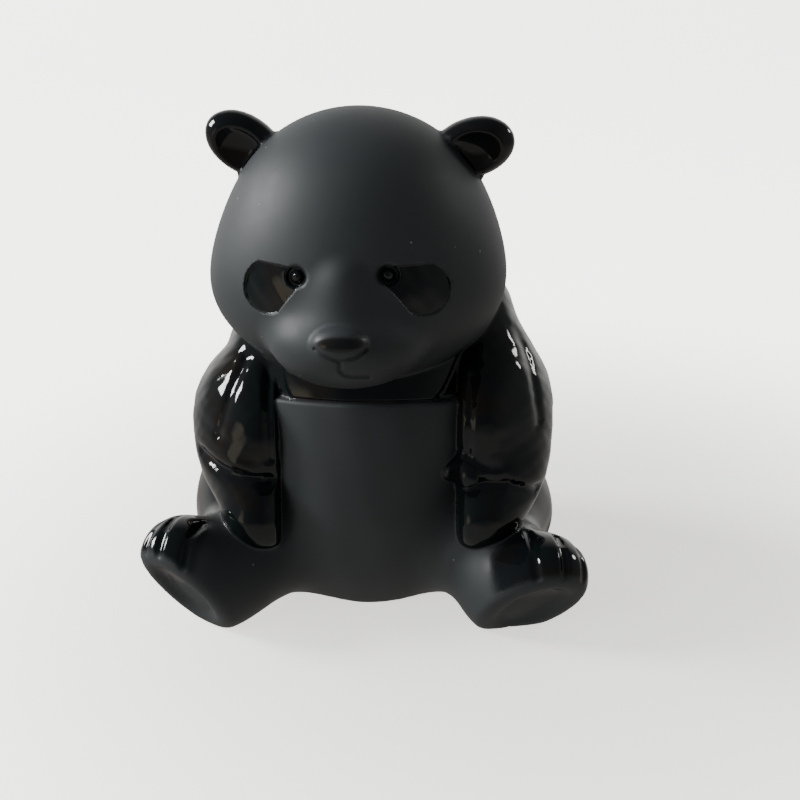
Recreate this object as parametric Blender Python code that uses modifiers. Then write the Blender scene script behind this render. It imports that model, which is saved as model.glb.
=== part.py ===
# A seated panda cub carved from one block of black obsidian, about 87 mm tall.
# It is one solid that stands on its own flat seat. It faces -Y, with +X at its left paw.
# Egg-shaped masses of stone are fused into one form, and the carving is cut into its skin.
import math

import bmesh
import bpy
import numpy as np
from mathutils import Euler, Matrix

# The height is the driving dimension. Pose, proportions and carving are shares of it,
# counted in units of which the carving is 87.4 tall, so that a unit is 1 mm on the real one.
HEIGHT = 0.0874
UNITS_TALL = 87.4
UNIT = HEIGHT / UNITS_TALL

# How finely the stone is worked, and how many triangles the finished solid keeps.
ROUGH_VOXEL = 1.1
FINE_VOXEL = 0.6
ROUGH_ROUNDS = 4
FINE_ROUNDS = 6
TRIANGLES = 9500

# The seat is flat, with a narrow rounded edge. Points this near the ground lie on it.
SEAT_EDGE = 0.8
SEAT_REACH = 0.05

# The stone, black and half of it blasted to a matte skin.
STONE_COLOUR = (0.012, 0.013, 0.014, 1.0)
STONE_ROUGHNESS = 0.4

# Each mass is an egg: its centre, its three radii and its turns about X, Y and Z in degrees.
# A blend is about how wide the fillet is where two masses meet.
# The head looks a little to its own right. Its masses and carving are in its own frame.
HEAD_CENTRE = (-1.3, -2.0, 64.3)
HEAD_TURN = -4.5
SKULL = (
    ((0, 0.5, 0.8), (23.2, 22.8, 22.3), (0, 0, 0)),
    ((-0.4, -1.5, -6.0), (24.0, 20.2, 13.5), (0, 0, 0)),
)
SKULL_BLEND = 9.0
MUZZLE = (
    ((0, -17.8, -10.2), (12.8, 11.0, 7.9), (0, 0, 0)),
    ((0, -20.3, -4.0), (4.8, 4.3, 7.0), (22, 0, 0)),
)
MUZZLE_BLEND = 4.0
FACE_BLEND = 2.4
NOSE = ((0, -27.7, -8.0), (4.3, 2.3, 2.6), (-15, 0, 0))
NOSE_BLEND = 0.7
NECK_BLEND = 1.2

# Each ear is a flat disc, hollowed in front down to the head's own edge.
EAR_PLACE = {1: (18.9, 1.5, 16.6), -1: (19.5, 1.5, 16.7)}
EAR_RADII = (7.0, 4.0, 4.9)
EAR_LEAN = {1: -15, -1: -30}
EAR_BLEND = 0.9
EAR_CUP = ((0.0, -4.9, -0.9), (5.6, 3.5, 4.3), (0, 0, 0))
EAR_CUP_EDGE = 0.8

# The eye is a bead in a ring groove. The patch runs from it to a round lobe out on the cheek.
# Both are laid out on a plane tilted back by this much for each unit of depth from the eye.
EYE = {1: (6.8, 0.7), -1: (7.2, 0.1)}
EYE_RING_RADIUS = 1.3
EYE_RING_WIDTH = 0.5
EYE_RING_DEPTH = 0.55
PATCH_LOBE = {1: (12.0, -1.3), -1: (11.9, -1.6)}
PATCH_LOBE_RADIUS = 4.4
PATCH_EYE_RADIUS = 1.5
PATCH_DEPTH = 0.4
PATCH_EDGE = 0.5
FACE_TILT = 0.3
EYE_DEPTH = -20.0

# The seam under the nose and the mouth are grooves. All of the face's carving is on its front.
NOSE_SEAM = ((-3.6, -8.5), (-2.2, -9.3), (0.2, -10.4), (2.7, -9.5), (4.0, -8.5))
MOUTH = ((0.2, -10.4), (0.0, -11.9), (0.6, -12.8), (1.8, -13.2), (4.2, -13.4))
MOUTH_WIDTH = 0.4
MOUTH_DEPTH = 0.5
FACE_FRONT = -12.0
FACE_FADE = 2.0

# The trunk: belly, chest, seat and upper back.
TRUNK = (
    ((0, -1.3, 19.0), (21.5, 19.6, 28.0), (0, 0, 0)),
    ((0, 0.0, 38.5), (23.5, 17.0, 18.0), (0, 0, 0)),
    ((0, 8.0, 20.0), (30.0, 20.0, 25.0), (0, 0, 0)),
    ((0, 5.5, 42.0), (25.5, 16.5, 17.0), (0, 0, 0)),
)
TRUNK_BLEND = 9.0
TAIL = ((0, 25.6, 8.0), (6.2, 4.4, 5.2), (0, 0, 0))
TAIL_BLEND = 1.5

# Limbs on the +X side (1) and on the -X side (-1), which is written as if it were on +X too.
ARM = {
    1: (
        ((18.4, 4.0, 47.5), (8.6, 11.0, 13.0), (0, -8, 0)),
        ((22.6, -3.5, 35.0), (10.2, 15.0, 14.0), (0, -12, -26)),
        ((23.5, -9.6, 24.4), (8.2, 11.6, 7.8), (33, 0, -25)),
        ((19.8, -16.6, 18.6), (5.8, 5.5, 6.2), (0, 0, 0)),
    ),
    -1: (
        ((16.0, 4.0, 45.0), (8.0, 11.0, 12.0), (0, -10, 0)),
        ((21.8, -3.3, 32.4), (10.0, 14.6, 14.0), (0, -12, -26)),
        ((22.4, -10.5, 23.4), (6.0, 11.0, 7.2), (33, 0, -25)),
        ((19.2, -16.6, 18.2), (4.8, 5.0, 5.8), (0, 10, 0)),
    ),
}
ARM_BLEND = 5.0
ARM_SEAM = 0.8

# The arms stop at a wall beside the belly, and the left wrist presses past it.
ARM_WALL = 15.6
ARM_WALL_EDGE = 1.0
WRIST = {1: 2.3, -1: 0.3}
WRIST_HEIGHT = 27.3
WRIST_SPREAD = 2.2

# Each arm is creased across at the elbow, hollowed beside its inner edge and creased down its
# outside. The paths are seen from the front, and the creases fade towards the back.
ELBOW_CREASE = {
    1: ((13.5, 25.4), (19.0, 26.4), (24.0, 26.0), (29.5, 23.5)),
    -1: ((17.5, 26.4), (22.0, 27.2), (29.5, 28.8)),
}
ELBOW_WIDTH = 1.2
ELBOW_DEPTH = 0.9
ARM_HOLLOW = {
    1: ((17.9, 44.0), (17.4, 38.0), (17.2, 31.5)),
    -1: ((17.1, 44.0), (17.0, 34.0), (16.9, 22.0)),
}
HOLLOW_WIDTH = 0.8
HOLLOW_DEPTH = 0.5
SHOULDER_CREASE = {
    1: ((26.5, 50.0), (28.6, 43.0), (30.0, 35.0)),
    -1: ((20.0, 48.0), (23.5, 41.0), (26.0, 33.5)),
}
SHOULDER_WIDTH = 0.8
SHOULDER_DEPTH = 0.45
ARM_FRONT = -3.0
ARM_FADE = 4.0

LEG = {
    1: (
        ((22.0, 4.0, 9.5), (13.8, 16.0, 12.0), (0, 0, 0)),
        ((22.0, -12.0, 9.0), (9.5, 12.0, 9.5), (0, 0, 0)),
    ),
    -1: (
        ((20.8, 4.0, 10.5), (13.8, 16.0, 13.5), (0, 0, 0)),
        ((22.0, -12.0, 9.0), (9.5, 12.0, 9.5), (0, 0, 0)),
    ),
}
LEG_BLEND = 6.0
HIP_BLEND = 8.0
ANKLE_BLEND = 5.0

# Each foot's centre, then how far its sole faces down, its toes lean out, and it is splayed.
FOOT = {
    1: ((27.8, -21.8, 8.0), (27, 48, 10)),
    -1: ((29.9, -20.8, 10.0), (25, 29, 33)),
}
FOOT_RADII = (8.6, 9.0, 11.7)

# The sole is a flat cut across the foot, with a shallow hollow pad.
SOLE_AT = 4.6
SOLE_EDGE = 2.0
PAD_RADII = (4.6, 6.6)
PAD_DEPTH = 0.9
PAD_EDGE = 0.5
PAD_FADE = 2.0

# Three grooves over the tip of each foot part its toes.
TOE_GROOVES = {
    1: (
        ((28.6, -29.0, 14.5), (28.2, -25.0, 17.8), (28.0, -19.5, 18.0)),
        ((33.5, -28.5, 14.5), (33.4, -24.0, 17.9), (32.8, -20.0, 17.0)),
        ((37.2, -27.0, 12.5), (37.0, -23.5, 15.5), (35.8, -20.0, 15.4)),
    ),
    -1: (
        ((30.9, -28.6, 16.0), (30.2, -25.0, 20.0), (28.2, -20.0, 20.0)),
        ((35.4, -26.6, 17.4), (34.7, -23.5, 20.4), (33.4, -18.4, 20.4)),
        ((38.4, -24.5, 16.6), (37.0, -21.6, 20.0), (35.6, -18.6, 19.6)),
    ),
}
TOE_GROOVE_WIDTH = 0.9
TOE_GROOVE_DEPTH = 1.1

# The polished chest band lies a step below the belly's skin. Its sides lean out as they rise,
# by the flare for each unit of height, and fall away to the arms. It is only on the front.
CHEST_LINE = 41.3
CHEST_DROP = 0.6
CHEST_DEPTH = 0.6
CHEST_EDGE = 0.5
CHEST_FRONT = -8.0
CHEST_FADE = 4.0
BIB_MIDDLE = -0.8
BIB_HALF = 12.8
BIB_FLARE = {1: 0.5, -1: 0.15}
BIB_CORNER = 4.0
BIB_SIDE_DEPTH = 0.9
BIB_EDGE = 1.0


def turned(angles):
    """The rotation matrix for three angles in degrees about X, Y and Z."""
    return np.array(Euler([math.radians(angle) for angle in angles]).to_matrix())


def egg(points, centre, radii, turn):
    """How far each point lies outside an egg, negative inside."""
    local = (points - np.array(centre)) @ turned(turn)
    near = np.linalg.norm(local / np.array(radii), axis=1)
    slope = np.linalg.norm(local / np.array(radii) ** 2, axis=1)
    return near * (near - 1.0) / np.maximum(slope, 1e-9)


def fused(a, b, blend):
    """Two masses as one, with a fillet about as wide as blend where they meet."""
    overlap = np.maximum(blend - np.abs(a - b), 0.0) / blend
    return np.minimum(a, b) - overlap**2 * blend / 4


def cut(a, b, blend):
    """Mass a with mass b taken out of it."""
    return -fused(-a, b, blend)


def lump(points, masses, blend):
    """Several eggs fused together."""
    whole = egg(points, *masses[0])
    for mass in masses[1:]:
        whole = fused(whole, egg(points, *mass), blend)
    return whole


def within(distance, edge):
    """1 where the distance is negative and 0 where it is positive, over a soft edge."""
    share = np.clip(0.5 - distance / edge, 0.0, 1.0)
    return share**2 * (3.0 - 2.0 * share)


def from_path(points, path):
    """How far each point lies from a line of straight stretches."""
    path = np.array(path, float)
    best = np.full(len(points), 1e9)
    for start, end in zip(path[:-1], path[1:]):
        along = np.clip((points - start) @ (end - start) / ((end - start) ** 2).sum(), 0.0, 1.0)
        best = np.minimum(best, np.linalg.norm(points - start - along[:, None] * (end - start), axis=1))
    return best


def groove(points, path, width, depth):
    """The depth of a rounded groove along a path."""
    return depth * np.exp(-((from_path(points, path) / width) ** 2))


def mirrored(points, side):
    """Points of one side as if they were on the +X side."""
    return points * np.array((side, 1.0, 1.0))


def in_head(points):
    """The points in the head's own frame."""
    return (points - np.array(HEAD_CENTRE)) @ turned((0, 0, HEAD_TURN))


def in_foot(points, side):
    """Points of one side in that foot's own frame, with the sole facing -Y and the toes up."""
    centre, (down, lean, splay) = FOOT[side]
    return (points - np.array(centre)) @ turned((0, 0, splay)) @ turned((down, 0, 0)) @ turned((0, lean, 0))


def eye_patch(face, side):
    """How far points of the face plane lie outside the patch that runs from eye to cheek."""
    eye = np.array(EYE[side])
    lobe = np.array(PATCH_LOBE[side])
    along = np.clip((face - eye) @ (lobe - eye) / ((lobe - eye) ** 2).sum(), 0.0, 1.0)
    away = np.linalg.norm(face - eye - along[:, None] * (lobe - eye), axis=1)
    return away - PATCH_EYE_RADIUS - along * (PATCH_LOBE_RADIUS - PATCH_EYE_RADIUS)


def face_carving(own):
    """How deep the stone is cut on the face, at points in the head's frame."""
    face = own[:, (0, 2)]
    depth = groove(face, MOUTH, MOUTH_WIDTH, MOUTH_DEPTH)
    depth = np.maximum(depth, groove(face, NOSE_SEAM, MOUTH_WIDTH, MOUTH_DEPTH))
    tilted = np.stack((own[:, 0], own[:, 2] + FACE_TILT * (own[:, 1] - EYE_DEPTH)), axis=1)
    for side in (1, -1):
        half = tilted * np.array((side, 1.0))
        depth = depth + PATCH_DEPTH * within(eye_patch(half, side), PATCH_EDGE)
        ring = np.abs(np.linalg.norm(half - np.array(EYE[side]), axis=1) - EYE_RING_RADIUS)
        depth = depth + EYE_RING_DEPTH * np.exp(-((ring / EYE_RING_WIDTH) ** 2))
    return depth * within(own[:, 1] - FACE_FRONT, FACE_FADE)


def head_form(points):
    """How far each point lies outside the carved head."""
    own = in_head(points)
    head = lump(own, SKULL, SKULL_BLEND)
    head = fused(head, lump(own, MUZZLE, MUZZLE_BLEND), FACE_BLEND)
    head = fused(head, egg(own, *NOSE), NOSE_BLEND)
    for side in (1, -1):
        ear = (mirrored(own, side) - np.array(EAR_PLACE[side])) @ turned((0, EAR_LEAN[side], 0))
        hollowed = cut(egg(ear, (0, 0, 0), EAR_RADII, (0, 0, 0)), egg(ear, *EAR_CUP), EAR_CUP_EDGE)
        head = fused(head, hollowed, EAR_BLEND)
    return head + face_carving(own)


def arm_form(points, side):
    """How far each point lies outside one arm."""
    own = mirrored(points, side)
    bulge = WRIST[side] * np.exp(-(((own[:, 2] - WRIST_HEIGHT) / WRIST_SPREAD) ** 2))
    front = own[:, (0, 2)]
    creases = groove(front, ELBOW_CREASE[side], ELBOW_WIDTH, ELBOW_DEPTH)
    creases += groove(front, ARM_HOLLOW[side], HOLLOW_WIDTH, HOLLOW_DEPTH)
    creases += groove(front, SHOULDER_CREASE[side], SHOULDER_WIDTH, SHOULDER_DEPTH)
    arm = lump(own, ARM[side], ARM_BLEND) + creases * within(own[:, 1] - ARM_FRONT, ARM_FADE)
    return cut(arm, own[:, 0] - ARM_WALL + bulge, ARM_WALL_EDGE)


def leg_form(points, side):
    """How far each point lies outside one leg and its carved foot."""
    own = mirrored(points, side)
    sole = in_foot(own, side)
    foot = cut(egg(sole, (0, 0, 0), FOOT_RADII, (0, 0, 0)), sole[:, 1] + SOLE_AT, SOLE_EDGE)
    pad = np.linalg.norm(sole[:, (0, 2)] / np.array(PAD_RADII), axis=1) - 1.0
    foot = foot + PAD_DEPTH * within(pad, PAD_EDGE) * within(sole[:, 1], PAD_FADE)
    leg = fused(lump(own, LEG[side], LEG_BLEND), foot, ANKLE_BLEND)
    for path in TOE_GROOVES[side]:
        leg = leg + groove(own, path, TOE_GROOVE_WIDTH, TOE_GROOVE_DEPTH)
    return leg


def chest_rise(points):
    """How far points lie above the chest line, which falls a little towards its ends."""
    return points[:, 2] - CHEST_LINE + CHEST_DROP * ((points[:, 0] - BIB_MIDDLE) / BIB_HALF) ** 2


def chest_carving(points):
    """How deep the chest band is cut below the belly's skin."""
    rise = chest_rise(points)
    above = within(-rise, CHEST_EDGE)
    sideways = points[:, 0] - BIB_MIDDLE
    flare = np.where(sideways > 0, BIB_FLARE[1], BIB_FLARE[-1])
    inside = fused(BIB_HALF + flare * rise - np.abs(sideways), rise + BIB_CORNER / 4, BIB_CORNER)
    sides = within(inside, BIB_EDGE)
    front = within(points[:, 1] - CHEST_FRONT, CHEST_FADE)
    return (CHEST_DEPTH + BIB_SIDE_DEPTH * sides) * above * front


def body_form(points):
    """How far each point lies outside the trunk, tail, legs and arms."""
    body = lump(points, TRUNK, TRUNK_BLEND) + chest_carving(points)
    body = fused(body, egg(points, *TAIL), TAIL_BLEND)
    for side in (1, -1):
        body = fused(body, leg_form(points, side), HIP_BLEND)
    for side in (1, -1):
        body = fused(body, arm_form(points, side), ARM_SEAM)
    return body


def form(points):
    """How far each point lies outside the finished carving, negative inside."""
    whole = fused(head_form(points), body_form(points), NECK_BLEND)
    return cut(whole, points[:, 2], SEAT_EDGE)


def settled(points, rounds):
    """The points moved onto the skin of the finished carving, in short damped steps."""
    probe = 0.01
    least_slope = 0.3
    longest = 1.5
    damping = 0.9
    for _ in range(rounds):
        distance = form(points)
        slope = np.stack([form(points + probe * axis) - distance for axis in np.eye(3)], axis=1) / probe
        size = np.maximum((slope**2).sum(axis=1), least_slope)
        points = points - damping * np.clip(distance / size, -longest, longest)[:, None] * slope
    return points


def add_egg(bm, frame, centre, radii, turn):
    """One egg as a closed ball, placed in a frame."""
    place = frame @ Matrix.Translation(centre) @ Euler([math.radians(a) for a in turn]).to_matrix().to_4x4()
    bmesh.ops.create_icosphere(bm, subdivisions=4, radius=1.0, matrix=place @ Matrix.Diagonal((*radii, 1.0)))


def masses_mesh():
    """Every mass as its own closed ball, all in one mesh."""
    bm = bmesh.new()
    head = Matrix.Translation(HEAD_CENTRE) @ Matrix.Rotation(math.radians(HEAD_TURN), 4, "Z")
    for mass in (*SKULL, *MUZZLE, NOSE):
        add_egg(bm, head, *mass)
    for mass in (*TRUNK, TAIL):
        add_egg(bm, Matrix.Identity(4), *mass)
    for side in (1, -1):
        flip = Matrix.Diagonal((side, 1, 1, 1))
        add_egg(bm, head @ flip, EAR_PLACE[side], EAR_RADII, (0, EAR_LEAN[side], 0))
        for mass in ARM[side] + LEG[side]:
            add_egg(bm, flip, *mass)
        centre, (down, lean, splay) = FOOT[side]
        pose = Matrix.Rotation(math.radians(splay), 4, "Z") @ Matrix.Rotation(math.radians(down), 4, "X")
        pose = Matrix.Translation(centre) @ pose @ Matrix.Rotation(math.radians(lean), 4, "Y")
        add_egg(bm, flip @ pose, (0, 0, 0), FOOT_RADII, (0, 0, 0))
    bmesh.ops.recalc_face_normals(bm, faces=bm.faces)
    mesh = bpy.data.meshes.new("masses")
    bm.to_mesh(mesh)
    bm.free()
    mesh.transform(Matrix.Scale(UNIT, 4))
    return mesh


def with_modifier(mesh, kind, **settings):
    """The mesh after one modifier."""
    block = bpy.data.objects.new("block", mesh)
    bpy.context.scene.collection.objects.link(block)
    modifier = block.modifiers.new(kind, kind)
    for name, value in settings.items():
        setattr(modifier, name, value)
    graph = bpy.context.evaluated_depsgraph_get()
    worked = bpy.data.meshes.new_from_object(block.evaluated_get(graph))
    bpy.data.objects.remove(block)
    return worked


def points_of(mesh):
    """The corners of a mesh, in units."""
    flat = np.empty(len(mesh.vertices) * 3)
    mesh.vertices.foreach_get("co", flat)
    return flat.reshape(-1, 3) / UNIT


def set_points(mesh, points):
    """Put the corners of a mesh at points given in units."""
    mesh.vertices.foreach_set("co", (points * UNIT).ravel())
    mesh.update()


def carved_mesh():
    """The masses made one skin, blended, sat flat on the ground and carved."""
    mesh = with_modifier(masses_mesh(), "REMESH", mode="VOXEL", voxel_size=ROUGH_VOXEL * UNIT)
    points = points_of(mesh)
    points[:, 2] = np.maximum(points[:, 2], 0.0)
    set_points(mesh, settled(points, ROUGH_ROUNDS))
    mesh = with_modifier(mesh, "REMESH", mode="VOXEL", voxel_size=FINE_VOXEL * UNIT)
    set_points(mesh, settled(points_of(mesh), FINE_ROUNDS))
    return mesh


def thinned(mesh):
    """The mesh with fewer triangles, its seat exactly flat and its origin under its middle."""
    mesh = with_modifier(mesh, "DECIMATE", ratio=TRIANGLES / (2 * len(mesh.polygons)))
    points = points_of(mesh)
    points[points[:, 2] < SEAT_REACH, 2] = 0.0
    middle = (points.min(axis=0) + points.max(axis=0)) / 2
    set_points(mesh, points - np.array((middle[0], middle[1], 0.0)))
    return mesh


def stone():
    """The plain material of the whole carving."""
    material = bpy.data.materials.new("black obsidian")
    material.use_nodes = True
    shader = material.node_tree.nodes["Principled BSDF"]
    shader.inputs["Base Color"].default_value = STONE_COLOUR
    shader.inputs["Roughness"].default_value = STONE_ROUGHNESS
    shader.inputs["Metallic"].default_value = 0.0
    return material


def main():
    for obj in list(bpy.data.objects):
        bpy.data.objects.remove(obj)
    mesh = thinned(carved_mesh())
    mesh.name = "panda_carving"
    mesh.materials.append(stone())
    panda = bpy.data.objects.new("panda_carving", mesh)
    bpy.context.scene.collection.objects.link(panda)


main()
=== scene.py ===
# The looks of a seated panda cub carved from one block of black obsidian.
# Its rounded masses are fused and carved as one skin, blasted matte in parts and polished in parts.
import math

import bmesh
import bpy
import numpy as np
from mathutils import Euler, Matrix, Vector


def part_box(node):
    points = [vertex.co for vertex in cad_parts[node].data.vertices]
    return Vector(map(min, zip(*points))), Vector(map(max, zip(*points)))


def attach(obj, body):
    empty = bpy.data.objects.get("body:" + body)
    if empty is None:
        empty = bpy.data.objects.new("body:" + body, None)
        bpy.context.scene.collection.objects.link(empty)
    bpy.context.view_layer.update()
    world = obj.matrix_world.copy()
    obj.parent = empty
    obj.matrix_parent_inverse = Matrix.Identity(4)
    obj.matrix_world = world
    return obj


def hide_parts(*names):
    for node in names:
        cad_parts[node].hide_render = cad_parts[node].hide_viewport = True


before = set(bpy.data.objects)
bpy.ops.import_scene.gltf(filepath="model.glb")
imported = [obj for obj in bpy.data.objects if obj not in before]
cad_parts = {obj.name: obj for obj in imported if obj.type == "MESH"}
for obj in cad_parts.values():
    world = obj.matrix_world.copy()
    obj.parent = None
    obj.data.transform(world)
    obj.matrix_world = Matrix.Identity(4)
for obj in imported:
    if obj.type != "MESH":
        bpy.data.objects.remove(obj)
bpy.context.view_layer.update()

# The skull and muzzle are the largest mass of the stone, blasted to a soft matte skin.
# They are ground from the block as rounded eggs that run into one another.
# Sizes are in units of which the whole carving is 87.4 tall, so that a unit is 1 mm.
UNITS_TALL = 87.4
UNIT = (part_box("panda_carving")[1].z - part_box("panda_carving")[0].z) / UNITS_TALL

HEAD_CENTRE = (-1.3, -2.0, 64.3)
HEAD_TURN = -4.5
SKULL = (
    ((0, 0.5, 0.8), (23.2, 22.8, 22.3), (0, 0, 0)),
    ((-0.4, -1.5, -6.0), (24.0, 20.2, 13.5), (0, 0, 0)),
)
SKULL_BLEND = 9.0
MUZZLE = (
    ((0, -17.8, -10.2), (12.8, 11.0, 7.9), (0, 0, 0)),
    ((0, -20.3, -4.0), (4.8, 4.3, 7.0), (22, 0, 0)),
)
MUZZLE_BLEND = 4.0
FACE_BLEND = 2.4
TINY = 1e-9


def turned(angles):
    """The rotation matrix for three angles in degrees about X, Y and Z."""
    return np.array(Euler([math.radians(angle) for angle in angles]).to_matrix())


def egg(points, centre, radii, turn):
    """How far each point lies outside an egg, negative inside."""
    local = (points - np.array(centre)) @ turned(turn)
    near = np.linalg.norm(local / np.array(radii), axis=1)
    slope = np.linalg.norm(local / np.array(radii) ** 2, axis=1)
    return near * (near - 1.0) / np.maximum(slope, TINY)


def fused(a, b, blend):
    """Two masses as one, with a fillet about as wide as blend where they meet."""
    overlap = np.maximum(blend - np.abs(a - b), 0.0) / blend
    return np.minimum(a, b) - overlap**2 * blend / 4


def lump(points, masses, blend):
    """Several eggs fused together."""
    whole = egg(points, *masses[0])
    for mass in masses[1:]:
        whole = fused(whole, egg(points, *mass), blend)
    return whole


def in_head(points):
    """The points in the head's own frame."""
    return (points - np.array(HEAD_CENTRE)) @ turned((0, 0, HEAD_TURN))


def bare_head(own):
    """How far points in the head's frame lie outside the skull and muzzle."""
    return fused(lump(own, SKULL, SKULL_BLEND), lump(own, MUZZLE, MUZZLE_BLEND), FACE_BLEND)


# Each eye is a round bead standing in a ring groove, at the inner end of a polished patch.
# The patch is sunk a little below the matte skin, and is round as seen a little from above.
EYE = {1: (6.8, 0.7), -1: (7.2, 0.1)}
EYE_RING_RADIUS = 1.3
EYE_RING_WIDTH = 0.42
EYE_RING_DEPTH = 0.6
EYE_BEAD_RADIUS = 0.95
EYE_BEAD_RISE = 0.5
PATCH_LOBE = {1: (12.0, -1.3), -1: (11.9, -1.6)}
PATCH_LOBE_RADIUS = 4.4
PATCH_EYE_RADIUS = 1.5
PATCH_DEPTH = 0.42
PATCH_EDGE = 0.35
PATCH_SWELL = 0.07
PATCH_SWELL_SIZE = 3.4
PATCH_SWELL_SEED = 7
SWELL_WAVES = 7
SWELL_SPREAD = (0.7, 1.5)
SWELL_DIVISOR = 3
FACE_FRONT = -12.0
FACE_FADE = 2.0
FACE_TILT = 0.3
EYE_DEPTH = -20.0


def within(distance, edge):
    """1 where the distance is negative and 0 where it is positive, over a soft edge."""
    share = np.clip(0.5 - distance / edge, 0.0, 1.0)
    return share**2 * (3.0 - 2.0 * share)


def half_face(own, side):
    """Points of the tilted plane of the eyes as if they were on the +X side."""
    return np.stack((own[:, 0] * side, own[:, 2] + FACE_TILT * (own[:, 1] - EYE_DEPTH)), axis=1)


def eye_patch(face, side):
    """How far points of the face plane lie outside the patch that runs from eye to cheek."""
    eye = np.array(EYE[side])
    lobe = np.array(PATCH_LOBE[side])
    along = np.clip((face - eye) @ (lobe - eye) / ((lobe - eye) ** 2).sum(), 0.0, 1.0)
    away = np.linalg.norm(face - eye - along[:, None] * (lobe - eye), axis=1)
    return away - PATCH_EYE_RADIUS - along * (PATCH_LOBE_RADIUS - PATCH_EYE_RADIUS)


def swell(points, size, seed):
    """Smooth chance hills and hollows of the hand-worked skin, size units from crest to crest."""
    chance = np.random.default_rng(seed)
    total = np.zeros(len(points))
    for _ in range(SWELL_WAVES):
        direction = chance.normal(size=3)
        direction *= 2 * math.pi / (np.linalg.norm(direction) * size * chance.uniform(*SWELL_SPREAD))
        total += np.sin(points @ direction + chance.uniform(0, 2 * math.pi))
    return total / SWELL_DIVISOR


def eye_carving(own):
    """How deep the patches and the rings round the eyes are cut."""
    depth = np.zeros(len(own))
    for side in (1, -1):
        face = half_face(own, side)
        from_eye = np.linalg.norm(face - np.array(EYE[side]), axis=1)
        worked = PATCH_DEPTH + PATCH_SWELL * swell(own, PATCH_SWELL_SIZE, PATCH_SWELL_SEED)
        depth += worked * within(eye_patch(face, side), PATCH_EDGE)
        depth += EYE_RING_DEPTH * np.exp(-(((from_eye - EYE_RING_RADIUS) / EYE_RING_WIDTH) ** 2))
        depth -= EYE_BEAD_RISE * np.clip(1.0 - (from_eye / EYE_BEAD_RADIUS) ** 2, 0.0, 1.0)
    return depth * within(own[:, 1] - FACE_FRONT, FACE_FADE)


# The nose is a broad matte shield with a polished crescent, over a V-shaped seam and a split.
# The mouth turns off to the panda's left in one fine cut line.
NOSE = ((0, -27.7, -8.0), (4.3, 2.3, 2.6), (-15, 0, 0))
NOSE_BLEND = 0.9
NOSE_CRESCENT = ((0.3, -7.4), (3.5, 1.1))
NOSE_SEAM = ((-3.6, -8.5), (-2.2, -9.3), (0.2, -10.4), (2.7, -9.5), (4.0, -8.5))
MOUTH = ((0.2, -10.4), (0.0, -11.9), (0.6, -12.8), (1.8, -13.2), (4.2, -13.4))
MOUTH_WIDTH = 0.34
MOUTH_DEPTH = 0.4
FAR_AWAY = 1e9


def from_path(points, path):
    """How far each point lies from a line of straight stretches."""
    path = np.array(path, float)
    best = np.full(len(points), FAR_AWAY)
    for start, end in zip(path[:-1], path[1:]):
        along = np.clip((points - start) @ (end - start) / ((end - start) ** 2).sum(), 0.0, 1.0)
        away = points - start - along[:, None] * (end - start)
        best = np.minimum(best, np.linalg.norm(away, axis=1))
    return best


def groove(points, path, width, depth):
    """The depth of a rounded groove along a path."""
    return depth * np.exp(-((from_path(points, path) / width) ** 2))


def mouth_carving(own):
    """How deep the seam under the nose and the mouth are cut."""
    face = own[:, (0, 2)]
    seam = groove(face, NOSE_SEAM, MOUTH_WIDTH, MOUTH_DEPTH)
    mouth = groove(face, MOUTH, MOUTH_WIDTH, MOUTH_DEPTH)
    return np.maximum(seam, mouth) * within(own[:, 1] - FACE_FRONT, FACE_FADE)


# Each ear is a flat polished disc, hollowed in front down to the head's crisp edge.
# The polish is worked by hand, so that reflections in it swell and bend a little.
EAR_PLACE = {1: (18.9, 1.5, 16.6), -1: (19.5, 1.5, 16.7)}
EAR_RADII = (7.0, 4.0, 4.9)
EAR_LEAN = {1: -15, -1: -30}
EAR_BLEND = 0.7
EAR_CUP = ((0.0, -4.9, -0.9), (5.6, 3.5, 4.3), (0, 0, 0))
EAR_CUP_EDGE = 0.6
EAR_SWELL = 0.05
EAR_SWELL_SEED = 3
SWELL_SIZE = 7.0


def cut(a, b, blend):
    """Mass a with mass b taken out of it."""
    return -fused(-a, b, blend)


def mirrored(points, side):
    """Points of one side as if they were on the +X side."""
    return points * np.array((side, 1.0, 1.0))


def in_ear(own, side):
    """Points of the head's frame in one ear's own frame."""
    return (mirrored(own, side) - np.array(EAR_PLACE[side])) @ turned((0, EAR_LEAN[side], 0))


def ear_disc(ear):
    """How far points of the ear's frame lie outside the disc before it is hollowed."""
    return egg(ear, (0, 0, 0), EAR_RADII, (0, 0, 0))


def head_form(points):
    """How far each point lies outside the carved head."""
    own = in_head(points)
    head = fused(bare_head(own), egg(own, *NOSE), NOSE_BLEND)
    for side in (1, -1):
        ear = in_ear(own, side)
        hollowed = cut(ear_disc(ear), egg(ear, *EAR_CUP), EAR_CUP_EDGE)
        hollowed = hollowed + EAR_SWELL * swell(ear, SWELL_SIZE, EAR_SWELL_SEED)
        head = fused(head, hollowed, EAR_BLEND)
    return head + eye_carving(own) + mouth_carving(own)


# The trunk is one mass from the flat seat to the shoulders, with a small tail behind.
# Its front is ground in faint upright facets.
# The back and the tail aren't seen, so they are rounded plainly.
TRUNK = (
    ((0, -1.3, 19.0), (21.5, 19.6, 28.0), (0, 0, 0)),
    ((0, 0.0, 38.5), (23.5, 17.0, 18.0), (0, 0, 0)),
    ((0, 8.0, 20.0), (30.0, 20.0, 25.0), (0, 0, 0)),
    ((0, 5.5, 42.0), (25.5, 16.5, 17.0), (0, 0, 0)),
)
TRUNK_BLEND = 9.0
BELLY_FACET = 0.08
BELLY_FACET_SIZE = 6.0
BELLY_FACET_STRETCH = (1.0, 1.0, 0.2)
BELLY_FACET_SEED = 8
TAIL = ((0, 25.6, 8.0), (6.2, 4.4, 5.2), (0, 0, 0))
TAIL_BLEND = 1.5

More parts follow.
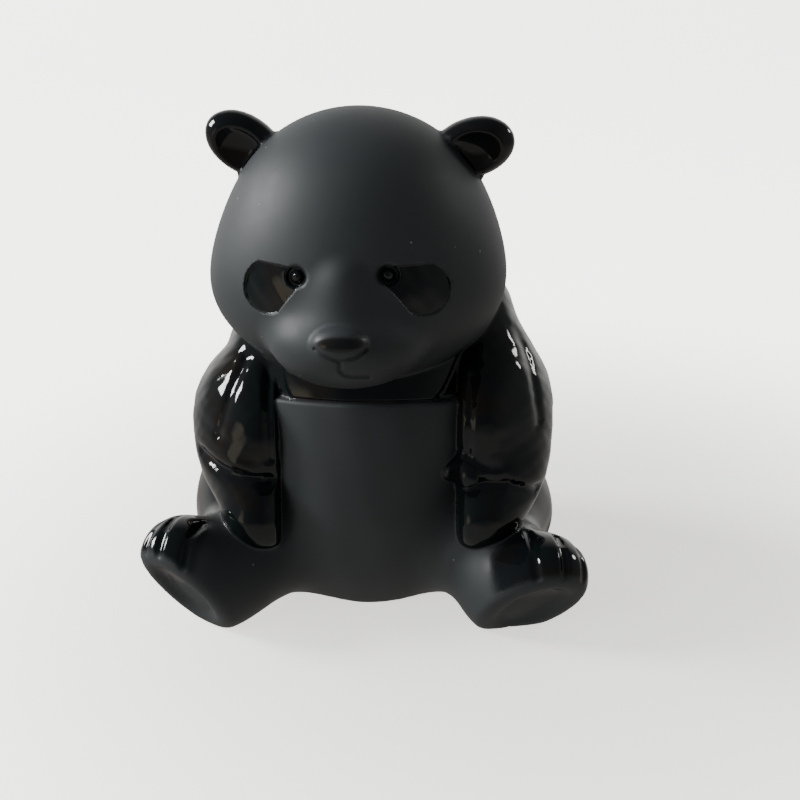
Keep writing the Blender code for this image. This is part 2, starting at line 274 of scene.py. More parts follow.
# The chest band between belly and chin is polished and cut a step below the belly's skin.
# Its sides lean out as they rise and fall away to the arms, and a dark line is cut under it.
CHEST_LINE = 41.3
CHEST_DROP = 0.6
CHEST_DEPTH = 0.6
CHEST_EDGE = 0.35
CHEST_FRONT = -8.0
CHEST_FADE = 4.0
CHEST_CUT_WIDTH = 0.3
CHEST_CUT_DEPTH = 0.35
BIB_MIDDLE = -0.8
BIB_HALF = 12.8
BIB_FLARE = {1: 0.5, -1: 0.15}
BIB_SIDE_DEPTH = 0.9
BIB_CORNER = 4.0
BIB_EDGE = 0.7
BIB_SWELL = 0.06
BIB_SWELL_SEED = 5


def chest_rise(points):
    """How far points lie above the chest line, which falls a little towards its ends."""
    return points[:, 2] - CHEST_LINE + CHEST_DROP * ((points[:, 0] - BIB_MIDDLE) / BIB_HALF) ** 2


def chest_carving(points):
    """How deep the chest band is cut below the belly's skin."""
    rise = chest_rise(points)
    above = within(-rise, CHEST_EDGE)
    sideways = points[:, 0] - BIB_MIDDLE
    flare = np.where(sideways > 0, BIB_FLARE[1], BIB_FLARE[-1])
    inside = fused(BIB_HALF + flare * rise - np.abs(sideways), rise + BIB_CORNER / 4, BIB_CORNER)
    sides = within(inside, BIB_EDGE)
    line = CHEST_CUT_DEPTH * np.exp(-((rise / CHEST_CUT_WIDTH) ** 2))
    band = CHEST_DEPTH + BIB_SIDE_DEPTH * sides + BIB_SWELL * swell(points, SWELL_SIZE, BIB_SWELL_SEED)
    return (band * above + line) * within(points[:, 1] - CHEST_FRONT, CHEST_FADE)


# The arms hang beside the belly and end in paws on the thighs. They are polished all over.
# Each is cut along a wall beside the belly and creased at the shoulder, elbow and inner side.
# The left one has a small knob at the wrist.
ARM = {
    1: (
        ((18.4, 4.0, 47.5), (8.6, 11.0, 13.0), (0, -8, 0)),
        ((22.6, -3.5, 35.0), (10.2, 15.0, 14.0), (0, -12, -26)),
        ((23.5, -9.6, 24.4), (8.2, 11.6, 7.8), (33, 0, -25)),
        ((19.8, -16.6, 18.6), (5.8, 5.5, 6.2), (0, 0, 0)),
    ),
    -1: (
        ((16.0, 4.0, 45.0), (8.0, 11.0, 12.0), (0, -10, 0)),
        ((21.8, -3.3, 32.4), (10.0, 14.6, 14.0), (0, -12, -26)),
        ((22.4, -10.5, 23.4), (6.0, 11.0, 7.2), (33, 0, -25)),
        ((19.2, -16.6, 18.2), (4.8, 5.0, 5.8), (0, 10, 0)),
    ),
}
ARM_BLEND = 5.0
ARM_SEAM = 0.5
ARM_WALL = 15.6
ARM_WALL_EDGE = {1: 1.8, -1: 0.7}
WRIST = {1: 2.3, -1: 0.3}
WRIST_HEIGHT = 27.3
WRIST_SPREAD = 2.2
ELBOW_CREASE = {
    1: ((13.5, 25.4), (19.0, 26.4), (24.0, 26.0), (29.5, 23.5)),
    -1: ((17.5, 26.4), (22.0, 27.2), (29.5, 28.8)),
}
ELBOW_WIDTH = 1.2
ELBOW_DEPTH = 0.9
ARM_HOLLOW = {
    1: ((17.9, 44.0), (17.4, 38.0), (17.2, 31.5)),
    -1: ((17.1, 44.0), (17.0, 38.0), (16.9, 30.5)),
}
HOLLOW_WIDTH = 0.8
HOLLOW_DEPTH = 0.5
SHOULDER_CREASE = {
    1: ((26.5, 50.0), (28.6, 43.0), (30.0, 35.0)),
    -1: ((20.0, 48.0), (23.5, 41.0), (26.0, 33.5)),
}
SHOULDER_WIDTH = 0.8
SHOULDER_DEPTH = 0.45
ARM_FRONT = -3.0
ARM_FADE = 4.0
WRIST_KNOB = ((15.8, -16.0, 27.7), (2.9, 3.9, 2.0), (0, 0, 20))
KNOB_BLEND = 2.4
ARM_SWELL = 0.07
ARM_SWELL_SEED = 11
ARM_RIPPLE = 0.025
RIPPLE_SIZE = 2.6
RIPPLE_SEED = 12


def arm_form(points, side):
    """How far each point lies outside one arm."""
    own = mirrored(points, side)
    front = own[:, (0, 2)]
    bulge = WRIST[side] * np.exp(-(((own[:, 2] - WRIST_HEIGHT) / WRIST_SPREAD) ** 2))
    creases = groove(front, ELBOW_CREASE[side], ELBOW_WIDTH, ELBOW_DEPTH)
    creases = np.maximum(creases, groove(front, ARM_HOLLOW[side], HOLLOW_WIDTH, HOLLOW_DEPTH))
    creases = np.maximum(creases, groove(front, SHOULDER_CREASE[side], SHOULDER_WIDTH, SHOULDER_DEPTH))
    worked = ARM_SWELL * swell(points, SWELL_SIZE, ARM_SWELL_SEED)
    worked = worked + ARM_RIPPLE * swell(points, RIPPLE_SIZE, RIPPLE_SEED)
    arm = lump(own, ARM[side], ARM_BLEND) + worked
    arm = arm + creases * within(own[:, 1] - ARM_FRONT, ARM_FADE)
    arm = cut(arm, own[:, 0] - ARM_WALL + bulge, ARM_WALL_EDGE[side])
    if side == 1:
        arm = fused(arm, egg(own, *WRIST_KNOB), KNOB_BLEND)
    return arm


# The legs lie along the ground and end in upturned feet with flat matte soles and a hollow pad.
# Three grooves part the toes of each foot.
LEG = {
    1: (
        ((22.0, 4.0, 9.5), (13.8, 16.0, 12.0), (0, 0, 0)),
        ((22.0, -12.0, 9.0), (9.5, 12.0, 9.5), (0, 0, 0)),
    ),
    -1: (
        ((20.8, 4.0, 10.5), (13.8, 16.0, 13.5), (0, 0, 0)),
        ((22.0, -12.0, 9.0), (9.5, 12.0, 9.5), (0, 0, 0)),
    ),
}
LEG_BLEND = 6.0
HIP_BLEND = 8.0
ANKLE_BLEND = 5.0
FOOT = {
    1: ((27.8, -21.8, 8.0), (27, 48, 10)),
    -1: ((29.9, -20.8, 10.0), (25, 29, 33)),
}
FOOT_RADII = (8.6, 9.0, 11.7)
SOLE_AT = 4.6
SOLE_EDGE = 1.3
PAD_RADII = (4.6, 6.6)
PAD_DEPTH = 1.2
PAD_EDGE = 0.45
PAD_FADE = 2.0
TOE_GROOVES = {
    1: (
        ((28.6, -29.0, 14.5), (28.2, -25.0, 17.8), (28.0, -19.5, 18.0)),
        ((33.5, -28.5, 14.5), (33.4, -24.0, 17.9), (32.8, -20.0, 17.0)),
        ((37.2, -27.0, 12.5), (37.0, -23.5, 15.5), (35.8, -20.0, 15.4)),
    ),
    -1: (
        ((30.9, -28.6, 16.0), (30.2, -25.0, 20.0), (28.2, -20.0, 20.0)),
        ((35.4, -26.6, 17.4), (34.7, -23.5, 20.4), (33.4, -18.4, 20.4)),
        ((38.4, -24.5, 16.6), (37.0, -21.6, 20.0), (35.6, -18.6, 19.6)),
    ),
}
TOE_GROOVE_WIDTH = 0.6
TOE_GROOVE_DEPTH = 1.0


def in_foot(points, side):
    """Points of one side in that foot's own frame, with the sole facing -Y and the toes up."""
    centre, (down, lean, splay) = FOOT[side]
    own = (points - np.array(centre)) @ turned((0, 0, splay))
    return own @ turned((down, 0, 0)) @ turned((0, lean, 0))


def toe_carving(own, side):
    """How deep the grooves between the toes are cut."""
    depth = np.zeros(len(own))
    for path in TOE_GROOVES[side]:
        depth += groove(own, path, TOE_GROOVE_WIDTH, TOE_GROOVE_DEPTH)
    return depth


def leg_form(points, side):
    """How far each point lies outside one leg and its carved foot."""
    own = mirrored(points, side)
    sole = in_foot(own, side)
    foot = cut(egg(sole, (0, 0, 0), FOOT_RADII, (0, 0, 0)), sole[:, 1] + SOLE_AT, SOLE_EDGE)
    pad = np.linalg.norm(sole[:, (0, 2)] / np.array(PAD_RADII), axis=1) - 1.0
    foot = foot + PAD_DEPTH * within(pad, PAD_EDGE) * within(sole[:, 1], PAD_FADE)
    leg = fused(lump(own, LEG[side], LEG_BLEND), foot, ANKLE_BLEND)
    return leg + toe_carving(own, side)


# The whole panda is one stone, so its masses are fused into one closed skin on a flat seat.
# It is worked coarse first, and then finer over the face, ears, toes, chest line and seams.
NECK_BLEND = 1.0
SEAT_EDGE = 0.8
SEAT_REACH = 0.05
ROUGH_VOXEL = 1.1
FINE_VOXEL = 0.8
ROUGH_ROUNDS = 4
FINE_ROUNDS = 4
SPLIT_REACHES = (2.4, 1.2)
SPLIT_ROUNDS = 3
BALL_FINENESS = 4
SLOPE_PROBE = 0.01
LEAST_SLOPE = 0.3
STEP_SHARE = 0.9
LONGEST_STEP = 1.5
SEAM_SHARE = 1.5
NOSE_SHARE = 1.5
CHEST_LINE_HALF = 17.0
ARM_WALL_LOW = 13.0
ARM_WALL_TOP = 47.0
EAR_CUP_AWAY = 1.3
EAR_NEAR = 1.0


def trunk_and_legs(points):
    """How far each point lies outside the trunk, tail and legs."""
    stretched = points * np.array(BELLY_FACET_STRETCH)
    facets = BELLY_FACET * swell(stretched, BELLY_FACET_SIZE, BELLY_FACET_SEED)
    body = lump(points, TRUNK, TRUNK_BLEND) + chest_carving(points) + facets
    body = fused(body, egg(points, *TAIL), TAIL_BLEND)
    for side in (1, -1):
        body = fused(body, leg_form(points, side), HIP_BLEND)
    return body


def form(points):
    """How far each point lies outside the finished carving, negative inside."""
    body = trunk_and_legs(points)
    for side in (1, -1):
        body = fused(body, arm_form(points, side), ARM_SEAM)
    whole = fused(head_form(points), body, NECK_BLEND)
    return cut(whole, points[:, 2], SEAT_EDGE)


def slope_at(points, distance):
    """Which way the skin faces, as the slope of the form."""
    rises = [form(points + SLOPE_PROBE * axis) - distance for axis in np.eye(3)]
    return np.stack(rises, axis=1) / SLOPE_PROBE


def settled(points, rounds):
    """The points moved onto the skin of the finished carving, in short damped steps."""
    for _ in range(rounds):
        distance = form(points)
        slope = slope_at(points, distance)
        size = np.maximum((slope**2).sum(axis=1), LEAST_SLOPE)
        step = np.clip(distance / size, -LONGEST_STEP, LONGEST_STEP)
        points = points - STEP_SHARE * step[:, None] * slope
    return points


def points_of(mesh):
    """The corners of a mesh, in units."""
    flat = np.empty(len(mesh.vertices) * 3)
    mesh.vertices.foreach_get("co", flat)
    return flat.reshape(-1, 3) / UNIT


def set_points(mesh, points):
    """Put the corners of a mesh at points given in units."""
    mesh.vertices.foreach_set("co", (points * UNIT).ravel())
    mesh.update()


def add_egg(bm, place, centre, radii, turn):
    """One egg as a closed ball, placed in a frame."""
    spin = Euler([math.radians(angle) for angle in turn]).to_matrix().to_4x4()
    shape = place @ Matrix.Translation(centre) @ spin @ Matrix.Diagonal((*radii, 1.0))
    bmesh.ops.create_icosphere(bm, subdivisions=BALL_FINENESS, radius=1.0, matrix=shape)


def masses_mesh():
    """Every mass as its own closed ball, all in one mesh."""
    bm = bmesh.new()
    head = Matrix.Translation(HEAD_CENTRE) @ Matrix.Rotation(math.radians(HEAD_TURN), 4, "Z")
    for mass in (*SKULL, *MUZZLE, NOSE):
        add_egg(bm, head, *mass)
    for mass in (*TRUNK, TAIL):
        add_egg(bm, Matrix.Identity(4), *mass)
    for side in (1, -1):
        flip = Matrix.Diagonal((side, 1, 1, 1))
        add_egg(bm, head @ flip, EAR_PLACE[side], EAR_RADII, (0, EAR_LEAN[side], 0))
        for mass in ARM[side] + LEG[side]:
            add_egg(bm, flip, *mass)
        centre, (down, lean, splay) = FOOT[side]
        pose = Matrix.Rotation(math.radians(splay), 4, "Z")
        pose = pose @ Matrix.Rotation(math.radians(down), 4, "X")
        pose = Matrix.Translation(centre) @ pose @ Matrix.Rotation(math.radians(lean), 4, "Y")
        add_egg(bm, flip @ pose, (0, 0, 0), FOOT_RADII, (0, 0, 0))
    bmesh.ops.recalc_face_normals(bm, faces=bm.faces)
    mesh = bpy.data.meshes.new("masses")
    bm.to_mesh(mesh)
    bm.free()
    mesh.transform(Matrix.Scale(UNIT, 4))
    return mesh


def one_skin(mesh, voxel):
    """The mesh made one closed skin of even small faces."""
    block = bpy.data.objects.new("block", mesh)
    bpy.context.scene.collection.objects.link(block)
    remesh = block.modifiers.new("one skin", "REMESH")
    remesh.mode = "VOXEL"
    remesh.voxel_size = voxel * UNIT
    graph = bpy.context.evaluated_depsgraph_get()
    skin = bpy.data.meshes.new_from_object(block.evaluated_get(graph))
    bpy.data.objects.remove(block)
    return skin


def near_carving(points, reach):
    """True at points within reach of fine carving, or of a seam where two masses meet."""
    own = in_head(points)
    face = own[:, (0, 2)]
    near = np.minimum(from_path(face, MOUTH), from_path(face, NOSE_SEAM))
    for side in (1, -1):
        face = half_face(own, side)
        from_eye = np.linalg.norm(face - np.array(EYE[side]), axis=1)
        near = np.minimum(near, np.abs(eye_patch(face, side)))
        near = np.minimum(near, from_eye - EYE_RING_RADIUS)
    near = np.where(own[:, 1] < FACE_FRONT, near, FAR_AWAY)
    near = np.minimum(near, NOSE_SHARE * np.maximum(egg(own, *NOSE), 0.0))
    head = head_form(points)
    body = trunk_and_legs(points)
    near = np.minimum(near, SEAM_SHARE * np.abs(head - body))
    on_front = points[:, 1] < CHEST_FRONT
    by_line = on_front & (np.abs(points[:, 0]) < CHEST_LINE_HALF)
    near = np.where(by_line, np.minimum(near, np.abs(chest_rise(points))), near)
    for side in (1, -1):
        own = mirrored(points, side)
        seam = np.abs(arm_form(points, side) - np.minimum(head, body))
        near = np.minimum(near, SEAM_SHARE * seam)
        for path in TOE_GROOVES[side]:
            near = np.minimum(near, from_path(own, path))
        by_wall = on_front & (own[:, 2] > ARM_WALL_LOW) & (own[:, 2] < ARM_WALL_TOP)
        from_wall = np.abs(own[:, 0] - ARM_WALL + WRIST[side] / 2)
        near = np.where(by_wall, np.minimum(near, from_wall), near)
        ear = in_ear(in_head(points), side)
        from_cup = EAR_CUP_AWAY + np.abs(egg(ear, *EAR_CUP))
        near = np.where(ear_disc(ear) < EAR_NEAR, np.minimum(near, from_cup), near)
    return near < reach


def finer(mesh, reach):
    """The mesh with the faces near fine carving split in four."""
    close = near_carving(points_of(mesh), reach)
    bm = bmesh.new()
    bm.from_mesh(mesh)
    bm.verts.ensure_lookup_table()
    edges = [edge for edge in bm.edges if all(close[end.index] for end in edge.verts)]
    bmesh.ops.subdivide_edges(bm, edges=edges, cuts=1, use_grid_fill=True)
    bmesh.ops.triangulate(bm, faces=[face for face in bm.faces if len(face.verts) > 4])
    bm.to_mesh(mesh)
    bm.free()
    return mesh


skin = one_skin(masses_mesh(), ROUGH_VOXEL)
rough = points_of(skin)
rough[:, 2] = np.maximum(rough[:, 2], 0.0)
set_points(skin, settled(rough, ROUGH_ROUNDS))
skin = one_skin(skin, FINE_VOXEL)
set_points(skin, settled(points_of(skin), FINE_ROUNDS))
for reach in SPLIT_REACHES:
    skin = finer(skin, reach)
    set_points(skin, settled(points_of(skin), SPLIT_ROUNDS))

# The finish of the stone is written on its skin: how far each point is polished.
# Ears, eye patches, arms, chest and shoulder band are polished, with a crescent on the nose.
# The polish of the toes and of the hips' outer sides fades at its borders, and the rest is matte.
POLISH_EDGE = 0.5
NOSE_SHINE = 0.85
EAR_POLISH_INSET = 0.5
PATCH_POLISH_INSET = 0.1
PATCH_POLISH_EDGE = 0.3
SHOULDER_BAND = 39.0
TOE_POLISH_FROM = {1: 22.5, -1: 32.0}
TOE_POLISH_SLANT = 0.4
TOE_POLISH_EDGE = 3.5
TOE_POLISH_LOW = 9.0
TOE_POLISH_LOW_EDGE = 4.0
SOLE_POLISH_GAP = 0.9
SOLE_POLISH_EDGE = 1.4
FOOT_POLISH_OUT = 1.2
FOOT_POLISH_EDGE = 1.5
HIP_POLISH_OUT = 25.0
HIP_POLISH_LOW = 10.0
HIP_POLISH_TOP = 36.0
HIP_POLISH_FRONT = -13.0
HIP_POLISH_EDGE = 3.0
HIP_POLISH_BACK = 10.0
HIP_POLISH_BACK_EDGE = 5.0


def toe_polish(own, side):
    """How far the toes of one foot are polished."""
    sole = in_foot(own, side)
    foot = egg(sole, (0, 0, 0), FOOT_RADII, (0, 0, 0))
    start_at = TOE_POLISH_FROM[side] - TOE_POLISH_SLANT * (own[:, 2] - TOE_POLISH_LOW)
    shine = within(start_at - own[:, 0], TOE_POLISH_EDGE)
    shine = shine * within(TOE_POLISH_LOW - own[:, 2], TOE_POLISH_LOW_EDGE)
    shine = shine * within(SOLE_POLISH_GAP - SOLE_AT - sole[:, 1], SOLE_POLISH_EDGE)
    return shine * within(foot - FOOT_POLISH_OUT, FOOT_POLISH_EDGE)


def hip_polish(own):
    """How far the outer side of one hip is polished."""
    shine = within(HIP_POLISH_OUT - own[:, 0], HIP_POLISH_EDGE)
    shine = shine * within(HIP_POLISH_LOW - own[:, 2], HIP_POLISH_EDGE)
    shine = shine * within(HIP_POLISH_FRONT - own[:, 1], HIP_POLISH_EDGE)
    shine = shine * within(own[:, 1] - HIP_POLISH_BACK, HIP_POLISH_BACK_EDGE)
    return shine * within(own[:, 2] - HIP_POLISH_TOP, HIP_POLISH_EDGE)


def polish_at(points):
    """How far each point of the skin is polished, from 0 for matte to 1."""
    own = in_head(points)
    head = bare_head(own)
    body = trunk_and_legs(points)
    crescent_middle, crescent_radii = NOSE_CRESCENT
    from_middle = (own[:, (0, 2)] - crescent_middle) / np.array(crescent_radii)
    crescent = within(np.linalg.norm(from_middle, axis=1) - 1.0, POLISH_EDGE)
    polish = NOSE_SHINE * crescent * within(egg(own, *NOSE) - POLISH_EDGE, POLISH_EDGE)
    for side in (1, -1):
        ear = ear_disc(in_ear(own, side)) - head + EAR_POLISH_INSET
        polish = np.maximum(polish, within(ear, POLISH_EDGE))
        patch = eye_patch(half_face(own, side), side) + PATCH_POLISH_INSET
        on_face = own[:, 1] < FACE_FRONT
        polish = np.maximum(polish, within(patch, PATCH_POLISH_EDGE) * on_face)
    above = np.where(points[:, 1] < 0, chest_rise(points), points[:, 2] - SHOULDER_BAND)
    band = within(-above, POLISH_EDGE) * within(body - head, POLISH_EDGE)
    polish = np.maximum(polish, band)
    for side in (1, -1):
        arm = arm_form(points, side) - np.minimum(head, body)
        polish = np.maximum(polish, within(arm, POLISH_EDGE))
        beside = mirrored(points, side)
        polish = np.maximum(polish, toe_polish(beside, side))
        polish = np.maximum(polish, hip_polish(beside))
    return polish


final = points_of(skin)
polish = polish_at(final)
slope = slope_at(final, form(final))
facing = slope / np.maximum(np.linalg.norm(slope, axis=1), TINY)[:, None]
flat = final[:, 2] < SEAT_REACH
final[flat, 2] = 0.0
facing[flat] = (0.0, 0.0, -1.0)
middle = (final.min(axis=0) + final.max(axis=0)) / 2
set_points(skin, final - np.array((middle[0], middle[1], 0.0)))
skin.name = "carved_stone"
finish = skin.attributes.new("polish", "FLOAT", "POINT")
finish.data.foreach_set("value", polish.astype(np.float32))
skin.polygons.foreach_set("use_smooth", np.ones(len(skin.polygons), bool))
skin.normals_split_custom_set_from_vertices(facing)


# The stone is volcanic glass, near black, with faint green and brown clouds where it is polished.
# Blasting leaves a fine grey grain on it, and a few specks of dust lie in the grain.
class Shade:
    """One socket among a finish's nodes, so that its shader maths reads as plain arithmetic."""

    def __init__(self, tree, socket=None):
        self.tree = tree
        self.socket = socket

    def node(self, kind, settings, values, output=0):
        """One node with its settings, then its values or links, as the socket it gives."""
        made = self.tree.nodes.new(kind)
        for name, setting in settings.items():
            setattr(made, name, setting)
        for name, value in values.items():
            if isinstance(value, Shade):
                self.tree.links.new(value.socket, made.inputs[name])
            else:
                made.inputs[name].default_value = value
        return Shade(self.tree, made.outputs[output])

    def maths(self, operation, a, b):
        """One step of arithmetic on two values."""
        return self.node("ShaderNodeMath", {"operation": operation}, {0: a, 1: b})

    def __add__(self, other):
        return self.maths("ADD", self, other)

    __radd__ = __add__

    def __sub__(self, other):
        return self.maths("SUBTRACT", self, other)

    def __rsub__(self, other):
        return self.maths("SUBTRACT", other, self)

    def __mul__(self, other):
        return self.maths("MULTIPLY", self, other)

    __rmul__ = __mul__

    def mixed(self, a, b):
        """Colour a where this value is 0 and colour b where it is 1."""
        return self.node("ShaderNodeMix", {"data_type": "RGBA"}, {0: self, 6: a, 7: b}, 2)

    def eased(self, edges, ends=(0.0, 1.0), kind="LINEAR"):
        """This value carried from between the two edges to between the two ends, and held there."""
        values = {0: self, 1: edges[0], 2: edges[1], 3: ends[0], 4: ends[1]}
        return self.node("ShaderNodeMapRange", {"interpolation_type": kind}, values)


BLASTED = (0.021, 0.0235, 0.0255, 1.0)
BLASTED_PALE = (0.031, 0.0345, 0.037, 1.0)
GLASS = (0.004, 0.005, 0.006, 1.0)
GLASS_GREEN = (0.0035, 0.0062, 0.0058, 1.0)
GLASS_BROWN = (0.0075, 0.0058, 0.0045, 1.0)
DUST = (0.17, 0.17, 0.165, 1.0)
MATTE_ROUGHNESS = 0.56
POLISHED_ROUGHNESS = 0.06
SMEAR_ROUGHNESS = 0.08
CLOUD_SIZE = 95.0
CLOUD_DETAIL = 3.0
GREEN_CLOUD = (0.5, 0.62)
BROWN_CLOUD = (0.47, 0.36)
GRAIN_SIZE = 4200.0
GRAIN_DETAIL = 2.0
GRAIN_POLISHED_OFF = 0.85
SMEAR_SIZE = 380.0
SMEAR_DETAIL = 4.0
SMEAR_MIDDLE = 0.5
SMEAR_HEIGHT = 0.5
DUST_SPREAD = 260.0
DUST_RADIUS = 0.045
DUST_CLOUD = 0.52
BUMP_STRENGTH = 0.25
BUMP_HEIGHT = 0.00004
GLASS_IOR = 1.5
GLASS_SPECULAR = 0.34

stone = bpy.data.materials.new("black obsidian")
stone.use_nodes = True
shader = stone.node_tree.nodes["Principled BSDF"]
start = Shade(stone.node_tree)
place = start.node("ShaderNodeTexCoord", {}, {}, "Object")
polished = start.node("ShaderNodeAttribute", {"attribute_name": "polish"}, {}, "Fac")


def noise(size, detail):
    """Soft chance clouds over the stone, size of them to the metre."""
    return start.node("ShaderNodeTexNoise", {}, {"Vector": place, "Scale": size, "Detail": detail})


cloud = noise(CLOUD_SIZE, CLOUD_DETAIL)
grain = noise(GRAIN_SIZE, GRAIN_DETAIL)
smear = noise(SMEAR_SIZE, SMEAR_DETAIL)
spread = {"Vector": place, "Scale": DUST_SPREAD}
specks = start.node("ShaderNodeTexVoronoi", {}, spread, "Distance")
dust = specks.maths("LESS_THAN", specks, DUST_RADIUS) * (1 - polished)
dust = dust * cloud.maths("GREATER_THAN", cloud, DUST_CLOUD)

blasted = cloud.mixed(BLASTED, BLASTED_PALE)
green = cloud.eased(GREEN_CLOUD).mixed(GLASS, GLASS_GREEN)
glass = cloud.eased(BROWN_CLOUD).mixed(green, GLASS_BROWN)
colour = dust.mixed(polished.mixed(blasted, glass), DUST)

rough = polished * (POLISHED_ROUGHNESS - MATTE_ROUGHNESS) + MATTE_ROUGHNESS
rough = rough + (smear - SMEAR_MIDDLE) * SMEAR_ROUGHNESS
height = grain * (1 - polished * GRAIN_POLISHED_OFF) + smear * polished * SMEAR_HEIGHT
relief = {"Strength": BUMP_STRENGTH, "Distance": BUMP_HEIGHT, "Height": height}
bump = start.node("ShaderNodeBump", {}, relief)

stone.node_tree.links.new(colour.socket, shader.inputs["Base Color"])
stone.node_tree.links.new(rough.socket, shader.inputs["Roughness"])
stone.node_tree.links.new(bump.socket, shader.inputs["Normal"])
shader.inputs["IOR"].default_value = GLASS_IOR
shader.inputs["Specular IOR Level"].default_value = GLASS_SPECULAR

skin.materials.clear()
skin.materials.append(stone)
panda = bpy.data.objects.new("carved_stone", skin)
bpy.context.scene.collection.objects.link(panda)
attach(panda, "root")
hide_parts("panda_carving")

# A plain pale floor runs back and up into a backdrop. It glows by itself. The soft shadow beside
# the carving is partly cast by the lights and partly painted, as a darker glow colour there.
# It neither lights the stone nor is seen in it.
FLOOR_COLOUR = (0.80, 0.785, 0.755, 1.0)
FLOOR_ROUGHNESS = 0.6
FLOOR_GLOW = 4.5
FLOOR_PAINTED_SHADOW = (0.27, 0.265, 0.255, 1.0)
PAINTED_SHADOW_MIDDLE = (0.035, 0.0, 0.0)
PAINTED_SHADOW_REACH = (0.03, 0.17)
FLOOR_FRONT = -1.6
FLOOR_HALF_WIDTH = 2.4
SWEEP_FROM = 0.9
SWEEP_RADIUS = 0.5
SWEEP_STEPS = 12
BACKDROP_RISE = 1.0

profile = [(FLOOR_FRONT, 0.0), (SWEEP_FROM, 0.0)]
for step in range(1, SWEEP_STEPS + 1):
    angle = math.pi / 2 * step / SWEEP_STEPS
    back = SWEEP_FROM + SWEEP_RADIUS * math.sin(angle)
    profile.append((back, SWEEP_RADIUS * (1 - math.cos(angle))))
profile.append((SWEEP_FROM + SWEEP_RADIUS, SWEEP_RADIUS + BACKDROP_RISE))
corners = [(x, y, z) for y, z in profile for x in (-FLOOR_HALF_WIDTH, FLOOR_HALF_WIDTH)]
faces = [(i, i + 1, i + 3, i + 2) for i in range(0, len(corners) - 2, 2)]
sweep = bpy.data.meshes.new("floor")
sweep.from_pydata(corners, [], faces)
sweep.polygons.foreach_set("use_smooth", np.ones(len(sweep.polygons), bool))

floor_paint = bpy.data.materials.new("floor")
floor_paint.use_nodes = True
floor_shader = floor_paint.node_tree.nodes["Principled BSDF"]
floor_shader.inputs["Base Color"].default_value = FLOOR_COLOUR
floor_shader.inputs["Roughness"].default_value = FLOOR_ROUGHNESS
ground = Shade(floor_paint.node_tree)
spot = ground.node("ShaderNodeTexCoord", {}, {}, "Object")
apart = {"operation": "DISTANCE"}
# Painted shadow: the floor's glow colour darkens towards a dim tone in a soft spot beside the carving.
from_painted_shadow = ground.node("ShaderNodeVectorMath", apart, {0: spot, 1: PAINTED_SHADOW_MIDDLE}, "Value")
floor_glow_and_painted_shadow = from_painted_shadow.eased(PAINTED_SHADOW_REACH, kind="SMOOTHSTEP").mixed(FLOOR_PAINTED_SHADOW, FLOOR_COLOUR)
floor_paint.node_tree.links.new(floor_glow_and_painted_shadow.socket, floor_shader.inputs["Emission Color"])
floor_shader.inputs["Emission Strength"].default_value = FLOOR_GLOW
sweep.materials.append(floor_paint)
floor = bpy.data.objects.new("floor", sweep)
floor.visible_glossy = False
floor.visible_diffuse = False
bpy.context.scene.collection.objects.link(floor)

# A window lights the carving from above on the photo's left, a little from behind.
# The pale wall beside it fills the shadows, and isn't seen in the polished stone.
LIGHT_AIM = (0.0, 0.0, 0.04)
WINDOW_PLACE = (-1.5, 0.2, 0.85)
WINDOW_SIZE = 0.52
WINDOW_POWER = 46.0
WINDOW_COLOUR = (0.99, 1.0, 1.0)
WALL_PLACE = (-1.3, -0.75, 0.6)
WALL_SIZE = 1.2
WALL_POWER = 21.0
WALL_COLOUR = (0.97, 1.0, 1.0)


def area_light(name, place, size, power, colour):
    """One soft square light, turned to face the carving."""
    lamp = bpy.data.lights.new(name, "AREA")
    lamp.shape = "SQUARE"
    lamp.size = size
    lamp.energy = power
    lamp.color = colour
    shown = bpy.data.objects.new(name, lamp)
    shown.location = place
    shown.rotation_euler = (Vector(place) - Vector(LIGHT_AIM)).to_track_quat("Z", "Y").to_euler()
    bpy.context.scene.collection.objects.link(shown)
    return shown


area_light("window", WINDOW_PLACE, WINDOW_SIZE, WINDOW_POWER, WINDOW_COLOUR)
wall = area_light("wall", WALL_PLACE, WALL_SIZE, WALL_POWER, WALL_COLOUR)
wall.visible_glossy = False

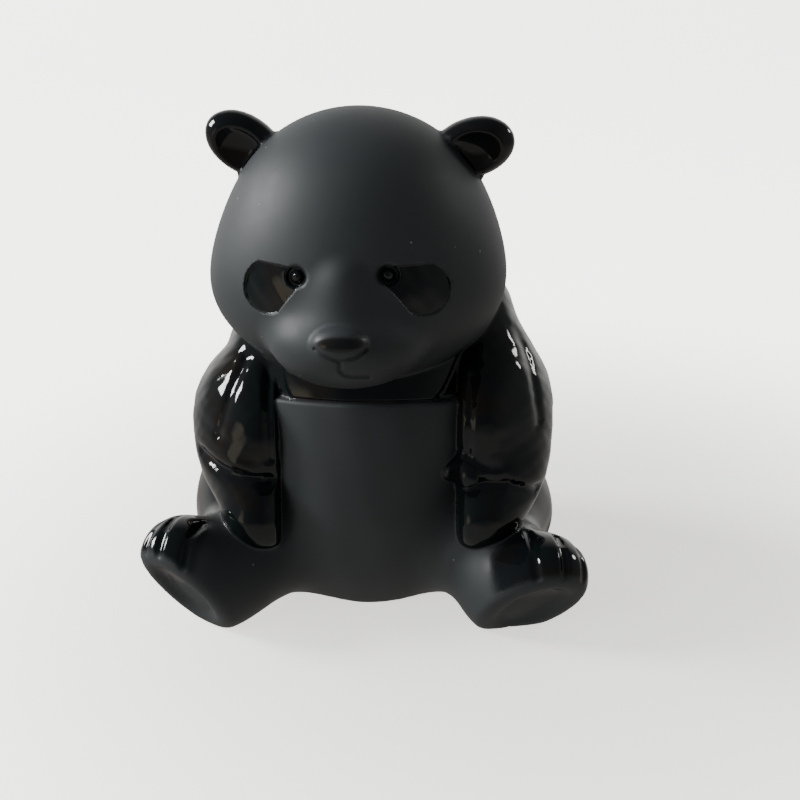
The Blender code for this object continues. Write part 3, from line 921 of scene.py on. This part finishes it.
# The room around is dim, bright behind the carving and a little brighter at the sides, most so
# low down. A warm card and a small skylight stand where the photo's polished stone reflects such
# lights. Seen straight on, the room is plain and pale.
ROOM_DARK = (0.115, 0.12, 0.125, 1.0)
ROOM_BRIGHT = (1.3, 1.3, 1.27, 1.0)
ROOM_FLOOR = (0.50, 0.48, 0.45, 1.0)
ROOM_SEEN = (0.9, 0.9, 0.89, 1.0)
BEHIND_EDGES = (0.4, 0.75)
BESIDE_EDGES = (0.15, 0.7)
BESIDE_ENDS = (0.0, 0.13)
LOW_EDGES = (0.85, 0.3)
LOW_ENDS = (0.5, 1.0)
GROUND_EDGES = (-0.05, -0.35)
CARD = (1.4, 1.25, 0.95, 1.0)
CARD_TOWARDS = (-0.77, -0.635, -0.05)
CARD_EDGES = (0.972, 0.994)
SKYLIGHT = (22.0, 22.0, 21.5, 1.0)
SKYLIGHT_TOWARDS = (0.82, 0.35, 0.45)
SKYLIGHT_EDGES = (0.9945, 0.996)

world = bpy.data.worlds.new("room")
world.use_nodes = True
room = Shade(world.node_tree)
way = room.node("ShaderNodeTexCoord", {}, {}, "Generated")
across, along, up = (room.node("ShaderNodeSeparateXYZ", {}, {0: way}, axis) for axis in "XYZ")


def towards(direction):
    """How far the view into the room turns towards a direction, 1 when it is the same."""
    turning = {"operation": "DOT_PRODUCT"}
    return room.node("ShaderNodeVectorMath", turning, {0: way, 1: direction}, "Value")


behind = along.eased(BEHIND_EDGES)
beside = (across * across).eased(BESIDE_EDGES, BESIDE_ENDS)
side_light = beside.maths("MAXIMUM", beside, behind) * up.eased(LOW_EDGES, LOW_ENDS)
walls = up.eased(GROUND_EDGES).mixed(side_light.mixed(ROOM_DARK, ROOM_BRIGHT), ROOM_FLOOR)
card = towards(CARD_TOWARDS).eased(CARD_EDGES)
skylight = towards(SKYLIGHT_TOWARDS).eased(SKYLIGHT_EDGES)
reflected = skylight.mixed(card.mixed(walls, CARD), SKYLIGHT)
seen = room.node("ShaderNodeLightPath", {}, {}, "Is Camera Ray")
room_light = seen.mixed(reflected, ROOM_SEEN)
backdrop = world.node_tree.nodes["Background"]
world.node_tree.links.new(room_light.socket, backdrop.inputs["Color"])
bpy.context.scene.world = world

# The camera stands in front of the carving and above it, and looks down as the photo's did.
CAMERA_PLACE = (0.00626, -0.17002, 0.109)
CAMERA_DOWN = 23.6
CAMERA_LENS = 45.1
CAMERA_SENSOR = 36.0
CAMERA_NEAR = 0.01

camera = bpy.data.cameras.new("camera")
camera.lens = CAMERA_LENS
camera.sensor_width = CAMERA_SENSOR
camera.clip_start = CAMERA_NEAR
viewer = bpy.data.objects.new("camera", camera)
viewer.location = CAMERA_PLACE
viewer.rotation_euler = (math.radians(90 - CAMERA_DOWN), 0.0, 0.0)
bpy.context.scene.collection.objects.link(viewer)
bpy.context.scene.camera = viewer
